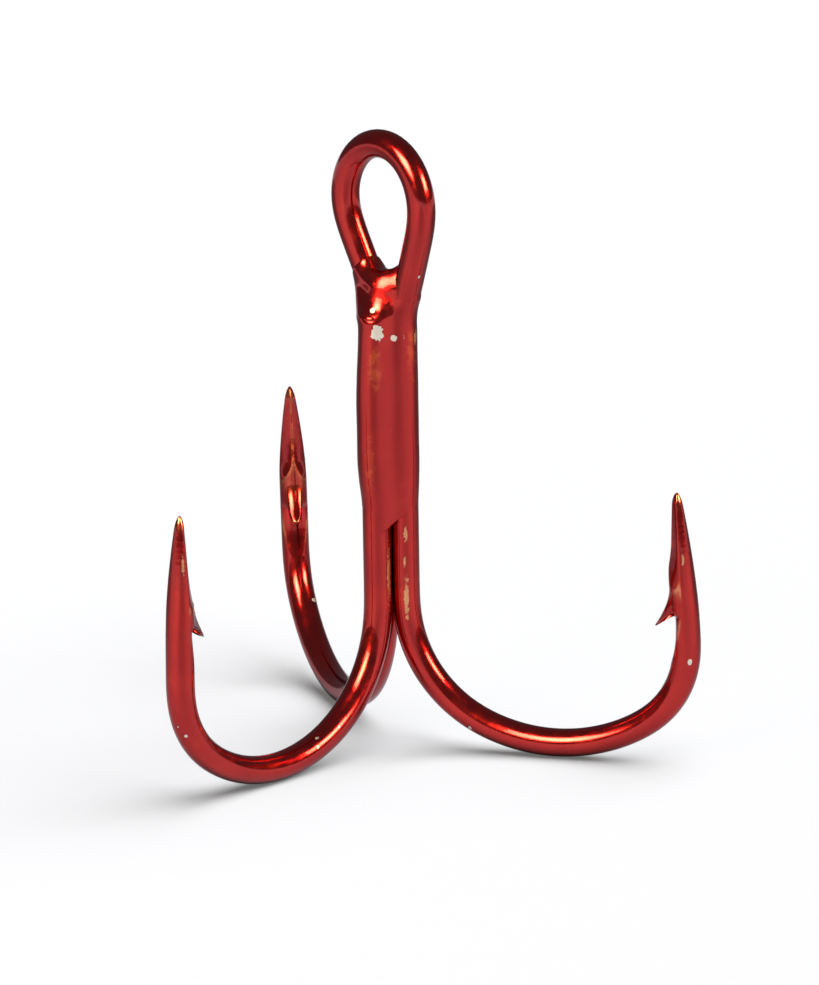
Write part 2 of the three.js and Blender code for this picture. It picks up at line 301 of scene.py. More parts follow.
def tip_rings(barb, angles):
    """Rings from the tip to the end of the chisel cut: distance along, out, sideways and wear for each
    angle."""
    shapes = []
    none = np.zeros(SIDES)
    own = np.abs(angles) < math.radians(BARB_HALF_ANGLE)

    def wire_ring(distance, radius, wear):
        shapes.append((np.full(SIDES, distance), radius * np.cos(angles), radius * np.sin(angles), wear))

    for distance in TIP_ROUNDING * (1 - np.cos(np.radians(TIP_RING_TURNS))):
        wire_ring(distance, point_radius(distance, angles), ground_wear(distance, angles))
    for distance in np.arange(TIP_ROUNDING, barb + BARB_START, POINT_RING_STEP):
        wire_ring(distance, point_radius(distance, angles), ground_wear(distance, angles))
    for rise in np.linspace(0, 1, BARB_RINGS):
        along = BARB_START * (1 - rise)
        foot = float(point_radius(barb + along, np.zeros(1))[0])
        out = foot + (BARB_OUT - RADIUS) * rise ** BARB_CURVE
        place = BARB_START + (CUT_DEEPEST - BARB_START) * BARB_SHARE * rise
        facets = ground_wear(barb + along, angles) * (1 - smoothstep(rise, *FACET_WEAR_FADE))
        wear = np.maximum(facets, BARB_WEAR * own * smoothstep(rise, *BARB_WEAR_START))
        shapes.append((*barb_ring(True, along, out, barb_width(rise), place, barb, angles), wear))
    floor = RADIUS - CUT_DEPTH
    for fall in np.linspace(0, 1, BARB_RINGS)[1:]:
        along = -ROOT_REACH * math.sin(math.pi / 2 * (fall / ROOT_TURN) ** ROOT_CURVE)
        out = BARB_OUT + (floor - BARB_OUT) * fall
        place = CUT_DEEPEST + (BARB_START - CUT_DEEPEST) * (1 - BARB_SHARE) * (1 - fall)
        shapes.append((*barb_ring(False, along, out, barb_width(1 - fall), place, barb, angles), none))
    for share in np.linspace(0, 1, CUT_RINGS)[1:]:
        place = CUT_DEEPEST + (CUT_END - CUT_DEEPEST) * share
        wire_ring(barb + place, cut_radius(place, angles), cut_wear(place, angles))
    return shapes


# ---- Swept wires ----

class Centreline:
    """A wire's centreline by length, with a side at each place that turns no more than the wire does."""

    def __init__(self, points, end_side, start_side=None, turning=(0.0, 0.0)):
        """start_side, where it is given, is reached by an extra turn between the two lengths in turning."""
        self.points = eased(points)
        steps = np.linalg.norm(np.diff(self.points, axis=0), axis=1)
        self.lengths = np.concatenate([[0], np.cumsum(steps)])
        self.length = self.lengths[-1]
        self.tangents = unit(np.gradient(self.points, axis=0))
        side = end_side
        sides = []
        for tangent in self.tangents[::-1]:
            side = unit(side - tangent * np.dot(side, tangent))
            sides.append(side)
        self.sides = np.array(sides[::-1])
        if start_side is not None:
            first = self.tangents[0]
            found = self.sides[0]
            turn = math.atan2(np.dot(np.cross(found, start_side), first), np.dot(found, start_side))
            turns = turn * (1 - smoothstep(self.lengths, *turning))
            across = np.cross(self.tangents, self.sides)
            self.sides = self.sides * np.cos(turns)[:, None] + across * np.sin(turns)[:, None]

    def at(self, length):
        """Centre, tangent, side and across at a length from the start."""
        found = [np.array([np.interp(length, self.lengths, column) for column in values.T])
                 for values in (self.points, self.tangents, self.sides)]
        tangent, side = unit(found[1]), unit(found[2])
        return found[0], tangent, side, np.cross(tangent, side)


def inward_side(name):
    """The barb's side of a hook's point: towards the shank, turned by the hook's twist."""
    turn = math.radians(HOOKS[name]["azimuth"] + 180 - HOOKS[name]["twist"])
    return np.array([math.cos(turn), math.sin(turn), 0.0])


def ring_points(line, length, along, out, sideways):
    """A ring in space. Each point may stand ahead of the ring by "along"."""
    centre, tangent, side, across = line.at(length)
    return (centre + np.outer(along, tangent) + np.outer(out, side) + np.outer(sideways, across))


def swept_rings(line, start_barb, end_barb):
    """Rings of a wire that has a point at each end named by its barb, or a cut end where that is None."""
    angles = 2 * math.pi * (np.arange(SIDES) / SIDES)
    angles = (angles + math.pi) % (2 * math.pi) - math.pi
    rings, lengths, wears = [], [], []

    def add(length, along, out, sideways, wear):
        rings.append(ring_points(line, length, along, out, sideways))
        lengths.append(length)
        wears.append(wear)

    def add_round(length, radius):
        add(length, np.zeros(SIDES), radius * np.cos(angles), radius * np.sin(angles), np.zeros(SIDES))

    if start_barb:
        for along, out, sideways, wear in tip_rings(start_barb, angles):
            length = along[SIDES // 2]
            add(length, along - length, out, sideways, wear)
        middle_start = lengths[-1]
    else:
        for turn in np.radians(np.linspace(0, 90, 7)):
            add_round(END_CHAMFER * (1 - math.cos(turn)), RADIUS - END_CHAMFER * (1 - math.sin(turn)))
        middle_start = END_CHAMFER
    end_rings = tip_rings(end_barb, angles)
    middle_end = line.length - end_rings[-1][0][SIDES // 2]
    count = round((middle_end - middle_start) / RING_STEP)
    for length in np.linspace(middle_start, middle_end, count + 1)[1:-1]:
        add_round(length, RADIUS)
    for along, out, sideways, wear in reversed(end_rings):
        length = line.length - along[SIDES // 2]
        add(length, line.length - along - length, out, sideways, wear)
    return np.array(rings), np.array(lengths), np.array(wears)


def swept_mesh(name, line, start_barb, end_barb):
    """A closed tube mesh with a UV map: x once around the wire, y the length along it in millimetres."""
    rings, lengths, wears = swept_rings(line, start_barb, end_barb)
    count = len(rings)
    start, end = line.points[0], line.points[-1]
    vertices = np.vstack([rings.reshape(-1, 3), [start, end]])
    faces, uvs = [], []
    for row in range(count - 1):
        for column in range(SIDES):
            following = (column + 1) % SIDES
            faces.append((row * SIDES + column, row * SIDES + following,
                          (row + 1) * SIDES + following, (row + 1) * SIDES + column))
            u0, u1 = column / SIDES, (column + 1) / SIDES
            uvs += [(u0, lengths[row]), (u1, lengths[row]), (u1, lengths[row + 1]), (u0, lengths[row + 1])]
    for column in range(SIDES):
        following = (column + 1) % SIDES
        u0, u1 = column / SIDES, (column + 1) / SIDES
        faces.append((count * SIDES, following, column))
        uvs += [(u0, 0), (u1, lengths[0]), (u0, lengths[0])]
        last = (count - 1) * SIDES
        faces.append((count * SIDES + 1, last + column, last + following))
        uvs += [(u0, line.length), (u0, lengths[-1]), (u1, lengths[-1])]
    piece = new_object(name, vertices, faces, uvs)
    from_end = line.length - lengths
    reach = np.minimum(lengths, from_end) if start_barb else from_end
    tips = np.append(np.repeat(reach, SIDES), [0 if start_barb else line.length, 0])
    worn = np.append(wears.ravel(), [1 if start_barb else 0, 1])
    for attribute, values in (("from_tip", tips), ("worn", worn)):
        layer = piece.data.attributes.new(attribute, "FLOAT", "POINT")
        layer.data.foreach_set("value", values.astype(np.float32))
    return piece


def new_object(name, vertices, faces, uvs=None):
    mesh = bpy.data.meshes.new(name)
    mesh.from_pydata((np.asarray(vertices) * MM).tolist(), [], faces)
    if uvs is not None:
        layer = mesh.uv_layers.new(name="wire")
        layer.data.foreach_set("uv", np.array(uvs, np.float32).ravel())
    mesh.validate()
    mesh.shade_smooth()
    piece = bpy.data.objects.new(name, mesh)
    bpy.context.scene.collection.objects.link(piece)
    return piece


def double_line():
    left = hook_points("left", SHANK_TOP)[::-1]
    right = hook_points("right", SHANK_TOP)
    eye = eye_points()[1:-1]
    turning = [np.linalg.norm(np.diff(part, axis=0), axis=1).sum() for part in (left, np.vstack([left, eye]))]
    return Centreline(np.vstack([left, eye, right]), inward_side("right"), inward_side("left"), turning)


def single_line():
    return Centreline(hook_points("single", SINGLE_WIRE_TOP), inward_side("single"))


DOUBLE_LINE = double_line()
SINGLE_LINE = single_line()
double_wire = swept_mesh("double_wire", DOUBLE_LINE, HOOKS["left"]["barb"], HOOKS["right"]["barb"])
single_wire = swept_mesh("single_wire", SINGLE_LINE, None, HOOKS["single"]["barb"])

for piece, node in ((double_wire, "double_hook_wire"), (single_wire, "single_hook_wire")):
    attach(piece, "root")
    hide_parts(node)


# ---- Braze ----

BRAZE_CELL = 0.1
BRAZE_BOX = ((-3.6, -3.6, -25.0), (3.6, 2.8, -3.4))
BRAZE_MARGIN = 0.35  # the body stays this far inside the box at its top and bottom
AXIS_CLEARANCE = 0.3
GROOVE_FILL = 1.6  # reach of the fillet between neighbouring wires
GROOVE_OPEN = 0.02
COATING = 0.05
SUNK = -0.25  # the braze hides this deep inside the wires where it ends
CAP_FILL = (0.8, 2.5)
CAP_FILL_RISE = (-6.6, -4.9)
CAP_FOOT = ((0.0, -1.05, -8.1), 0.62)
CAP_TOP = ((0.12, -0.22, -6.30), 0.98)
CAP_FACET = (0.43, -0.81, 0.41)  # way the flat front of the cap faces
CAP_FACET_PLACE = (0.86, -1.10, -6.07)
CAP_FACET_EDGE = 0.55
CAP_FACET_FOOT = (-9.8, -8.0)  # the flat front fades away between these heights
CAP_FACET_CLEAR = 3
SIDE_FOOT = ((-0.75, -0.95, -8.0), 0.72)
SIDE_TOP = ((-2.07, 0.42, -5.2), 0.88)
SIDE_FILL = 0.35
LEG_SKIN = (-6.8, -5.2)  # above this the braze only fills between the wires
FILLED = 0.09  # a place counts as filled where the braze stands this far out of the wires
BULGE_SIDE = (-0.72, -0.694)  # direction in which the braze is thickest
BULGE = 0.22
BULGE_SPREAD = (0.1, 0.9)
BULGE_TOP = (-14.5, -8.0)
BULGE_END = (-22.3, -18.3)
RIGHT_SIDE = (0.86, 0.5)
RIGHT_BULGE = 0.06
RIGHT_SPREAD = (0.3, 1.0)
RIGHT_TOP = (-9.5, -7.0)
RIGHT_END = (-21.5, -17.5)
FRONT_SIDE = (0.80, -0.60)
FRONT_SPREAD = (0.55, 0.9)
FRONT_ACROSS = (0.6, 0.8)  # direction across the front groove, in which its end slants
FRONT_MIDDLE = -0.9
FRONT_END = -23.9
FRONT_SLANT = 0.75
FRONT_EDGE = 0.3
BRAZE_END = (-23.4, -21.6)
SKIN_END = (-23.0, -20.0)
BARE = -0.03
WAVES = (
    (0.010, (1.5, -0.7, 0.42), 0.4),
    (0.008, (-1.3, 1.7, 0.65), 2.1),
    (0.005, (2.3, 1.6, -1.15), 4.4),
    (0.003, (-3.0, 2.9, 1.9), 1.2),
)


def leg_places():
    """Heights, half spacings and leaning of the two upper legs, from the shank up past the braze."""
    half = np.array(half_eye())
    rising = half[: np.argmax(half[:, 1] > BRAZE_BOX[1][2] + 1) + 1]
    return rising[:, 1], rising[:, 0]


LEG_HEIGHTS, LEG_SPACINGS = leg_places()
LEG_SLOPES = np.gradient(LEG_SPACINGS, LEG_HEIGHTS)


def leg_distance(points, side):
    height = points[:, 2]
    spacing = np.interp(height, LEG_HEIGHTS, LEG_SPACINGS)
    slope = np.interp(height, LEG_HEIGHTS, LEG_SLOPES, left=0.0)
    lean = CENTRES["left"][1] * (1 - smoothstep(height, SINGLE_WIRE_TOP, 0))
    across = (points[:, 0] - side * spacing) / np.sqrt(1 + slope ** 2)
    return np.hypot(across, points[:, 1] - lean) - RADIUS


def single_distance(points):
    x, y = CENTRES["single"]
    around = np.hypot(points[:, 0] - x, points[:, 1] - y) - RADIUS + END_CHAMFER
    above = points[:, 2] - SINGLE_WIRE_TOP + END_CHAMFER
    outside = np.hypot(np.maximum(around, 0), np.maximum(above, 0))
    return outside + np.minimum(np.maximum(around, above), 0) - END_CHAMFER


def cone_distance(points, foot_end, top_end):
    """Distance to a round cone with balls at its two ends."""
    (foot, foot_radius), (top, top_radius) = foot_end, top_end
    foot, rise = np.array(foot), np.array(top) - np.array(foot)
    share = np.clip((points - foot) @ rise / (rise @ rise), 0, 1)
    near = foot + share[:, None] * rise
    return np.linalg.norm(points - near, axis=1) - foot_radius - (top_radius - foot_radius) * share


def cut(a, b, reach):
    """Smooth intersection of two distances."""
    return -joined(-a, -b, reach)


def joined(a, b, reach):
    """Smooth union of two distances, with a fillet of about this reach."""
    overlap = np.maximum(reach - np.abs(a - b), 0) / reach
    return np.minimum(a, b) - overlap ** 2 * reach / 4


def towards(points, side, spread):
    away = np.maximum(np.hypot(points[:, 0], points[:, 1]), AXIS_CLEARANCE)
    return smoothstep((points[:, 0] * side[0] + points[:, 1] * side[1]) / away, *spread)


def braze_distance(points):
    """Distance outside the braze's surface, for points in millimetres."""
    height = points[:, 2]
    front = towards(points, FRONT_SIDE, FRONT_SPREAD)
    across = points[:, 0] * FRONT_ACROSS[0] + points[:, 1] * FRONT_ACROSS[1]
    front_end = FRONT_END + FRONT_SLANT * (across - FRONT_MIDDLE)
    end = smoothstep(height, *BRAZE_END)
    front_share = smoothstep(height, front_end, front_end + FRONT_EDGE)
    kept = front * front_share + (1 - front) * end
    reach = GROOVE_OPEN + (GROOVE_FILL - GROOVE_OPEN) * kept
    bulge = towards(points, BULGE_SIDE, BULGE_SPREAD)
    thickness = BULGE * bulge * smoothstep(height, *BULGE_END) * (1 - smoothstep(height, *BULGE_TOP))
    right_bulge = RIGHT_BULGE * towards(points, RIGHT_SIDE, RIGHT_SPREAD)
    thickness += right_bulge * smoothstep(height, *RIGHT_END) * (1 - smoothstep(height, *RIGHT_TOP))
    for size, (a, b, c), phase in WAVES:
        thickness += size * np.sin(a * points[:, 0] + b * points[:, 1] + c * height + phase)
    skin = smoothstep(height, *SKIN_END)
    thickness = BARE + (thickness + COATING - BARE) * skin
    cap = cone_distance(points, CAP_FOOT, CAP_TOP)
    side = cone_distance(points, SIDE_FOOT, SIDE_TOP)
    left, right, single = leg_distance(points, -1), leg_distance(points, 1), single_distance(points)
    body = joined(joined(left, right, reach), single, reach)
    body = joined(body, side, SIDE_FILL)
    low, high = CAP_FILL
    body = joined(body, cap, low + (high - low) * smoothstep(height, *CAP_FILL_RISE))
    filled = smoothstep(np.minimum(np.minimum(left, right), single) - body, 0, FILLED)
    above = smoothstep(height, *LEG_SKIN) * (1 - filled)
    body -= SUNK + (thickness - SUNK) * kept * (1 - above)
    facing = np.array(CAP_FACET) / np.linalg.norm(CAP_FACET)
    below = CAP_FACET_CLEAR * (1 - smoothstep(height, *CAP_FACET_FOOT))
    body = cut(body, (points - np.array(CAP_FACET_PLACE)) @ facing - below, CAP_FACET_EDGE)
    top = height - BRAZE_BOX[1][2] + BRAZE_MARGIN
    bottom = BRAZE_BOX[0][2] + BRAZE_MARGIN - height
    return np.maximum(body, np.maximum(top, bottom))


def net_mesh(distance, low, high, cell):
    """A closed mesh of the surface where distance is 0: one vertex in each crossed cell of a grid."""
    axes = [np.arange(a, b + cell / 2, cell) for a, b in zip(low, high)]
    shape = tuple(len(axis) for axis in axes)
    grid = np.stack(np.meshgrid(*axes, indexing="ij"), -1).reshape(-1, 3)
    field = distance(grid).reshape(shape)
    inside = field < 0
    cells = tuple(n - 1 for n in shape)
    total, count = np.zeros(cells + (3,)), np.zeros(cells)
    corners = [(i, j, k) for i in (0, 1) for j in (0, 1) for k in (0, 1)]

    def at_corner(values, corner):
        return values[tuple(slice(c, c + n) for c, n in zip(corner, cells))]

    for corner in corners:
        for axis in range(3):
            if corner[axis]:
                continue
            other = tuple(c + (n == axis) for n, c in enumerate(corner))
            a, b = at_corner(field, corner), at_corner(field, other)
            crossed = (a < 0) != (b < 0)
            share = np.where(crossed, a / np.where(crossed, a - b, 1), 0)
            for n in range(3):
                step = share if n == axis else corner[n]
                total[..., n] += np.where(crossed, step, 0)
            count += crossed
    used = count > 0
    index = np.full(cells, -1)
    index[used] = np.arange(used.sum())
    start = np.argwhere(used)
    vertices = np.array(low) + (start + total[used] / count[used][:, None]) * cell
    faces = []
    for axis in range(3):
        u, v = (axis + 1) % 3, (axis + 2) % 3
        here = [slice(1, -1)] * 3
        here[axis] = slice(0, -1)
        there = list(here)
        there[axis] = slice(1, None)
        leaving = inside[tuple(here)] & ~inside[tuple(there)]
        entering = ~inside[tuple(here)] & inside[tuple(there)]
        base = np.array([1, 1, 1])
        base[axis] = 0
        for mask, order in ((leaving, (0, 1, 2, 3)), (entering, (3, 2, 1, 0))):
            place = np.argwhere(mask) + base
            quad = []
            for du, dv in ((-1, -1), (0, -1), (0, 0), (-1, 0)):
                corner = place.copy()
                corner[:, u] += du
                corner[:, v] += dv
                quad.append(index[tuple(corner.T)])
            faces.append(np.stack([quad[n] for n in order], 1))
    return vertices, np.vstack(faces)


def settled(vertices, distance, rounds=3):
    """Moves vertices onto the surface along the field's slope, by up to half a cell on each axis a round."""
    step = 0.01
    for _ in range(rounds):
        value = distance(vertices)
        slope = np.stack([(distance(vertices + step * axis) - distance(vertices - step * axis)) / (2 * step)
                          for axis in np.eye(3)], 1)
        size = np.maximum((slope ** 2).sum(1), 0.25)
        move = slope * (value / size)[:, None]
        vertices = vertices - np.clip(move, -BRAZE_CELL / 2, BRAZE_CELL / 2)
    return vertices


def braze_mesh():
    vertices, faces = net_mesh(braze_distance, *BRAZE_BOX, BRAZE_CELL)
    return new_object("braze", settled(vertices, braze_distance), faces.tolist())


braze = braze_mesh()
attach(braze, "root")
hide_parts("braze_core", "braze_bead_front", "braze_bead_side", "braze_bead_rear", "braze_cap")


# ---- Materials ----

LACQUER_TINT = (0.71, 0.030, 0.023)
DEEP_TINT = (0.60, 0.019, 0.020)
# Colour of thinner lacquer. The braze's painted sheen uses it too.
THIN_LACQUER_AND_SHEEN_TINT = (0.95, 0.15, 0.04)
WORN_TINT = (0.98, 0.58, 0.29)
METAL = (0.80, 0.78, 0.74)
BARE_METAL = (0.66, 0.66, 0.67)
EDGE_TINT = (0.50, 0.38, 0.55)

BROAD_SCALE = 190
FINE_SCALE = 1300
SPECKLE_SCALE = 4200
WIRE_PEEL_SCALE = 700
BRAZE_PEEL_SCALE = 420
ROUGHNESS = (0.15, 0.25)
WORN_ROUGHNESS = 0.22
BARE_ROUGHNESS = 0.35
FROSTED_ROUGHNESS = 0.16
COAT_ROUGHNESS = 0.04
COAT_IOR = 1.38
STREAK_WEAR = 0.8
BRAZE_STREAK_WEAR = 0.85
STREAK_SOFTNESS = 0.5
GRINDING_ALONG = 1.7  # grinding marks across the points: their scales along and across the wire
GRINDING_ACROSS = 120.0
GRINDING_HEIGHT = 0.8
GRINDING_END = (6.6, 7.3)
BUMP_STRENGTH = 0.2
BUMP_DISTANCE = 0.00006


class Nodes:
    """A material's nodes, made one after another. A value is a number, a colour or another node's output."""

    def __init__(self, name):
        self.material = bpy.data.materials.new(name)
        self.material.use_nodes = True
        self.tree = self.material.node_tree
        self.shader = self.tree.nodes["Principled BSDF"]

    def put(self, socket, value):
        if isinstance(value, bpy.types.NodeSocket):
            self.tree.links.new(value, socket)
        elif isinstance(value, tuple) and len(value) == 3 and socket.type == "RGBA":
            socket.default_value = (*value, 1)
        else:
            socket.default_value = value

    def node(self, kind, settings=None, **inputs):
        node = self.tree.nodes.new(kind)
        for name, value in (settings or {}).items():
            setattr(node, name, value)
        for name, value in inputs.items():
            self.put(node.inputs[name.replace("_", " ")], value)
        return node

    def math(self, operation, *values, clamp=False):
        node = self.node("ShaderNodeMath", {"operation": operation, "use_clamp": clamp})
        for socket, value in zip(node.inputs, values):
            self.put(socket, value)
        return node.outputs[0]

    def ramp(self, value, low, high, start=0.0, end=1.0):
        node = self.node("ShaderNodeMapRange", {"interpolation_type": "SMOOTHSTEP"}, Value=value)
        for name, limit in (("From Min", low), ("From Max", high), ("To Min", start), ("To Max", end)):
            node.inputs[name].default_value = limit
        return node.outputs[0]

    def blend(self, share, a, b):
        node = self.node("ShaderNodeMix", {"data_type": "RGBA"})
        self.put(node.inputs["Factor"], share)
        self.put(node.inputs[6], a)
        self.put(node.inputs[7], b)
        return node.outputs[2]

    def noise(self, place, scale, detail=2.0, distortion=0.0):
        node = self.node("ShaderNodeTexNoise", Vector=place, Scale=scale, Detail=detail,
                         Distortion=distortion)
        return node.outputs["Fac"]

    def place(self):
        return self.node("ShaderNodeTexCoord").outputs["Object"]

    def near(self, place, centre, half_sizes, ragged, soft=0.05):
        """1 inside an ellipsoid with a ragged edge. Sizes and centre in millimetres."""
        node = self.node("ShaderNodeMapping", {"vector_type": "POINT"}, Vector=place)
        sizes = tuple(1 / (half * MM) for half in half_sizes)
        node.inputs["Scale"].default_value = sizes
        node.inputs["Location"].default_value = tuple(-c * MM * size for c, size in zip(centre, sizes))
        length = self.node("ShaderNodeVectorMath", {"operation": "LENGTH"})
        self.put(length.inputs[0], node.outputs[0])
        return self.ramp(self.math("ADD", length.outputs["Value"], ragged), 1 - soft, 1.0, 1.0, 0.0)


def any_of(nodes, masks):
    total = masks[0]
    for mask in masks[1:]:
        total = nodes.math("MAXIMUM", total, mask)
    return total


# Marks on the lacquer: centre and half sizes in millimetres.
WIRE_STREAKS = (
    ((0.985, -1.03, -26.6), (0.14, 0.24, 2.6)),
    ((1.75, -0.09, -23.7), (0.17, 0.17, 0.55)),
    ((1.68, -0.17, -25.75), (0.12, 0.12, 0.42)),
    ((1.76, -0.10, -28.3), (0.21, 0.21, 1.8)),
    ((19.44, 9.40, -24.45), (0.11, 0.11, 0.6)),
    ((18.38, 9.43, -25.45), (0.10, 0.10, 0.75)),
    ((0.20, -20.53, -22.0), (0.12, 0.12, 1.9)),
)
WIRE_SPECKS = (
    ((19.90, 9.56, -31.74), (0.16, 0.16, 0.22)),
    ((5.63, 2.13, -37.69), (0.13, 0.13, 0.22)),
    ((-0.20, -21.00, -33.45), (0.08, 0.08, 0.08)),
    ((0.14, -20.58, -34.13), (0.12, 0.12, 0.12)),
    ((0.77, -6.15, -36.68), (0.14, 0.10, 0.08)),
    ((0.39, -7.99, -37.14), (0.10, 0.16, 0.10)),
    ((0.74, -8.26, -37.66), (0.10, 0.12, 0.12)),
    ((-17.10, 9.64, -34.11), (0.22, 0.22, 0.20)),
    ((3.24, 0.13, -4.88), (0.09, 0.09, 0.12)),
)
BRAZE_CHIPS = (
    ((0.99, -1.85, -8.95), (0.42, 0.50, 0.62)),
    ((1.48, -0.66, -9.39), (0.20, 0.24, 0.24)),
    ((0.41, -1.67, -7.39), (0.20, 0.20, 0.18)),
)
BRAZE_STREAKS = (
    ((0.48, -2.32, -8.12), (0.15, 0.18, 0.50)),
    ((2.05, 0.87, -9.40), (0.16, 0.28, 0.70)),
    ((1.89, -0.07, -9.36), (0.07, 0.12, 0.28)),
)
# Painted sheen on the braze: a brighter orange mottle in these places stands in for the bright reflected
# bands down its sides. Centre and half sizes in millimetres.
BRAZE_PAINTED_SHEEN = (
    ((0.45, -2.25, -18.4), (0.40, 0.35, 2.6)),
    ((2.10, 0.50, -10.6), (0.40, 0.60, 2.2)),
    ((0.80, -1.90, -11.5), (0.60, 0.60, 1.8)),
)
CAP_PATCH = ((0.75, -0.92, -6.2), (1.0, 0.9, 0.9))


def lacquered(name, streaks, chips, painted_sheen_places, is_wire):
    """Clear red lacquer over bright metal, with thinner lacquer in random spots, chips and a lightly uneven
    surface. On the braze, the listed places also get painted sheen: a brighter orange mottle in the lacquer's
    colour.
    """
    nodes = Nodes(name)
    place = nodes.place()
    broad = nodes.noise(place, BROAD_SCALE, 3.0, 0.6)
    fine = nodes.noise(place, FINE_SCALE, 3.0)
    speckle = nodes.noise(place, SPECKLE_SCALE, 2.0)
    ragged = nodes.math("MULTIPLY_ADD", speckle, 1.6, -0.8)
    tint = nodes.blend(nodes.ramp(broad, 0.35, 0.75), DEEP_TINT, LACQUER_TINT)
    thin_lacquer_and_sheen = nodes.ramp(nodes.math("MULTIPLY", broad, fine), 0.32, 0.52, 0.0, 0.35)

    if is_wire:
        worn = nodes.node("ShaderNodeAttribute", {"attribute_name": "worn"}).outputs["Fac"]
        from_tip = nodes.node("ShaderNodeAttribute", {"attribute_name": "from_tip"}).outputs["Fac"]
        wear = nodes.math("MULTIPLY", worn, nodes.ramp(fine, 0.30, 0.62, 0.35, 1.0))
        marks = any_of(nodes, [nodes.near(place, *mark, ragged, STREAK_SOFTNESS) for mark in streaks])
        wear = nodes.math("MAXIMUM", wear, nodes.math("MULTIPLY", marks, STREAK_WEAR))
    else:
        # Painted sheen: the listed places on the braze get a mottled, brighter orange lacquer colour.
        spots = nodes.ramp(fine, 0.40, 0.66, 0.15, 0.7)
        places = any_of(nodes, [nodes.near(place, *mark, ragged, STREAK_SOFTNESS) for mark in painted_sheen_places])
        thin_lacquer_and_sheen = nodes.math("MAXIMUM", thin_lacquer_and_sheen, nodes.math("MULTIPLY", places, spots))
        wear = any_of(nodes, [nodes.near(place, *mark, ragged, STREAK_SOFTNESS) for mark in streaks])
        wear = nodes.math("MULTIPLY", wear, BRAZE_STREAK_WEAR)

    bare = any_of(nodes, [nodes.near(place, *mark, nodes.math("MULTIPLY", ragged, 0.6)) for mark in chips])
    # Thinner lacquer, and the braze's painted sheen, shown as brighter orange.
    tint = nodes.blend(thin_lacquer_and_sheen, tint, THIN_LACQUER_AND_SHEEN_TINT)
    tint = nodes.blend(wear, tint, WORN_TINT)
    tint = nodes.blend(bare, tint, (1, 1, 1))
    shader = nodes.shader
    rough = nodes.ramp(fine, 0.3, 0.7, *ROUGHNESS)
    if not is_wire:
        frosted = nodes.near(place, *CAP_PATCH, nodes.math("MULTIPLY", ragged, 1.2))
        rough = nodes.math("MULTIPLY_ADD", frosted, FROSTED_ROUGHNESS, rough)
    rough = nodes.math("MULTIPLY_ADD", wear, WORN_ROUGHNESS, rough)
    rough = nodes.math("MULTIPLY_ADD", bare, BARE_ROUGHNESS, rough)
    nodes.put(shader.inputs["Base Color"], nodes.blend(bare, METAL, BARE_METAL))
    nodes.put(shader.inputs["Metallic"], 1.0)
    nodes.put(shader.inputs["Specular Tint"], EDGE_TINT)
    nodes.put(shader.inputs["Roughness"], rough)
    nodes.put(shader.inputs["Coat Weight"], nodes.math("SUBTRACT", 1.0, nodes.math("MULTIPLY", bare, 0.9)))
    nodes.put(shader.inputs["Coat Roughness"], COAT_ROUGHNESS)
    nodes.put(shader.inputs["Coat IOR"], COAT_IOR)
    nodes.put(shader.inputs["Coat Tint"], tint)

    orange_peel = nodes.noise(place, WIRE_PEEL_SCALE if is_wire else BRAZE_PEEL_SCALE, 3.0)
    height = nodes.math("ADD", orange_peel, nodes.math("MULTIPLY", speckle, 0.06))
    height = nodes.math("SUBTRACT", height, nodes.math("MULTIPLY", bare, 0.8))
    if is_wire:
        across = nodes.node("ShaderNodeSeparateXYZ", Vector=place).outputs["X"]
        bands = nodes.node("ShaderNodeCombineXYZ", X=nodes.math("MULTIPLY", from_tip, GRINDING_ALONG),
                           Y=nodes.math("MULTIPLY", across, GRINDING_ACROSS))
        grinding = nodes.noise(bands.outputs[0], 1.0, 2.0)
        ground = nodes.math("MULTIPLY", nodes.ramp(from_tip, *GRINDING_END, 1.0, 0.0), GRINDING_HEIGHT)
        height = nodes.math("ADD", height, nodes.math("MULTIPLY", grinding, ground))
    bump = nodes.node("ShaderNodeBump", Strength=BUMP_STRENGTH, Distance=BUMP_DISTANCE, Height=height)
    nodes.put(shader.inputs["Normal"], bump.outputs[0])
    nodes.put(shader.inputs["Coat Normal"], bump.outputs[0])
    return nodes.material


wire_lacquer = lacquered("lacquered_wire", WIRE_STREAKS, WIRE_SPECKS, (), True)
braze_lacquer = lacquered("lacquered_braze", BRAZE_STREAKS, BRAZE_CHIPS, BRAZE_PAINTED_SHEEN, False)
double_wire.data.materials.append(wire_lacquer)
single_wire.data.materials.append(wire_lacquer)
braze.data.materials.append(braze_lacquer)


# ---- Floor, light and camera ----

FLOOR_HEIGHT = CAD_BOX[0][2]
FLOOR_SIZE = 3.0
CAMERA_SIDE = -46.06  # direction from the object to the camera, degrees from +X
FLOOR_COLOUR = (0.36, 0.365, 0.375)
FLOOR_REFLECTED = (0.31, 0.325, 0.35)  # the floor as the wires see it
FLOOR_GLOW = 0.13

# Darker places that the floor reflects: side, distance, half length, half width and the share of light kept.
FLOOR_SHADES = (
    (0, 0.20, 0.17, 0.055, 0.55),
    (-128, 0.16, 0.13, 0.10, 0.25),
    (128, 0.16, 0.13, 0.10, 0.25),
)

# Softboxes: side, elevation, distance, width, height, and strength in the middle and at the edge.
SOFTBOXES = {
    "softbox_left": (-35, 34, 0.75, 0.42, 0.40, 34, 11),
    "softbox_right": (65, 25, 0.75, 0.36, 0.28, 34, 11),
}
SOFTBOX_COLOUR = (1, 0.78, 0.44)
SOFTBOX_AIM = (0, 0, -0.02)
KEY_SIDE = 82
KEY_ELEVATION = 60
KEY_ENERGY = 8.6
KEY_ANGLE = 76
STUDIO_COLOUR = (0.13, 0.12, 0.13)


